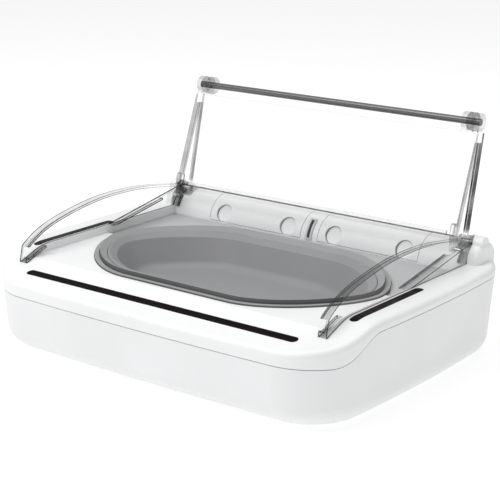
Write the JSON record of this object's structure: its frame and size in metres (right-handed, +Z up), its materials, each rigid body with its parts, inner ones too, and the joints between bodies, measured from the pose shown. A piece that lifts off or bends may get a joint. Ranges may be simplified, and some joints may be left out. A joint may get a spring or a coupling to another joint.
{
  "type": "automatic pet feeder",
  "caption": "Sealed pet food bowl in a low casing, with clear side shields and a clear folding lid that a motor opens when sensors see the pet.",
  "frame": {"origin": "on the table, under the middle of the casing", "axes": "+X to the feeder's right, the long way; +Y to its back, where the lid is hinged; +Z up"},
  "size_m": [0.3144, 0.2362, 0.1676],
  "materials": {
    "white_body": "satin white moulding",
    "sensor_filter": "gloss black infrared filter, faintly red",
    "foot_rubber": "matt",
    "bowl_grey": "satin grey",
    "soft_grey": "matt soft grey",
    "mat_grey": "matt light grey",
    "clear_plastic": "clear polished",
    "seal_clear": "translucent soft strip",
    "dark_rod": "dark grey satin",
    "steel": "plain",
    "drive_plastic": "natural acetal",
    "motor_can": "drawn can",
    "cell_wrap": "printed sleeve, plain",
    "circuit_board": "solder mask",
    "chip_black": "moulded black",
    "diode_dark": "dark lens",
    "button_grey": "matt",
    "light_pipe": "clear"
  },
  "bodies": {
    "root": {"lower_casing": "white_body", "upper_casing": "white_body", "front_sensor_window": "sensor_filter", "left_sensor_window": "sensor_filter", "right_sensor_window": "sensor_filter", "rubber_feet": "foot_rubber", "casing_screws": "steel", "food_bowl": "bowl_grey", "bowl_seat_ring": "soft_grey", "rear_mat": "mat_grey", "left_side_shield": "clear_plastic", "right_side_shield": "clear_plastic", "motor_bracket": "drive_plastic", "drive_motor": "motor_can", "drive_gearbox": "steel", "door_catch": "steel", "battery_cells": "cell_wrap", "left_battery_cradle": "drive_plastic", "right_battery_cradle": "drive_plastic", "battery_contacts": "steel", "main_board": "circuit_board", "board_spacers": "drive_plastic", "board_parts": "chip_black", "front_sensor_board": "circuit_board", "left_sensor_board": "circuit_board", "right_sensor_board": "circuit_board", "sensor_diodes": "diode_dark", "button_board": "circuit_board", "tactile_switches": "chip_black", "status_light_pipe": "light_pipe"},
    "rear_lid": {"rear_lid_panel": "clear_plastic", "fold_rod": "dark_rod", "left_hinge_pin": "steel", "lid_drive_shaft": "steel", "lid_lever": "drive_plastic"},
    "front_lid": {"front_lid_panel": "clear_plastic", "leading_edge_seal": "seal_clear", "guide_pins": "steel"},
    "crank": {"output_crank": "drive_plastic", "motor_output_shaft": "steel"},
    "link": {"drive_link": "drive_plastic"},
    "left_door": {"left_battery_door": "white_body"},
    "right_door": {"right_battery_door": "white_body"},
    "open_button": {"open_button": "button_grey"},
    "training_button": {"training_button": "button_grey"}
  },
  "joints": [
    {"name": "lid_hinge", "type": "hinge", "parent": "root", "child": "rear_lid", "pos_m": [0, 0.08865, 0.0795], "axis": [1, 0, 0], "range_deg": [0, 92]},
    {"name": "fold_hinge", "type": "hinge", "parent": "rear_lid", "child": "front_lid", "pos_m": [0, 0.1052, 0.161], "axis": [1, 0, 0], "range_deg": [-144.44, 0]},
    {"name": "crank_turn", "type": "hinge", "parent": "root", "child": "crank", "pos_m": [0, 0.09109, 0.05965], "axis": [1, 0, 0], "range_deg": [0, 92]},
    {"name": "link_swing", "type": "hinge", "parent": "rear_lid", "child": "link", "pos_m": [0, 0.08638, 0.07505], "axis": [1, 0, 0], "range_deg": [-92, 0]},
    {"name": "left_door_slide", "type": "slide", "parent": "root", "child": "left_door", "axis": [0, -1, 0], "range_m": [0, 0.012]},
    {"name": "right_door_slide", "type": "slide", "parent": "root", "child": "right_door", "axis": [0, -1, 0], "range_m": [0, 0.012]},
    {"name": "open_button_press", "type": "slide", "parent": "root", "child": "open_button", "axis": [0, -1, 0], "range_m": [0, 0.0015], "stiffness_N_per_m": 1200, "springref_m": -0.0005},
    {"name": "training_button_press", "type": "slide", "parent": "root", "child": "training_button", "axis": [0, -1, 0], "range_m": [0, 0.0015], "stiffness_N_per_m": 1200, "springref_m": -0.0005}
  ],
  "couplings": [
    {"joint": "fold_hinge", "follows": "lid_hinge", "ratio": -1.57},
    {"joint": "crank_turn", "follows": "lid_hinge", "ratio": 1},
    {"joint": "link_swing", "follows": "lid_hinge", "ratio": -1}
  ]
}
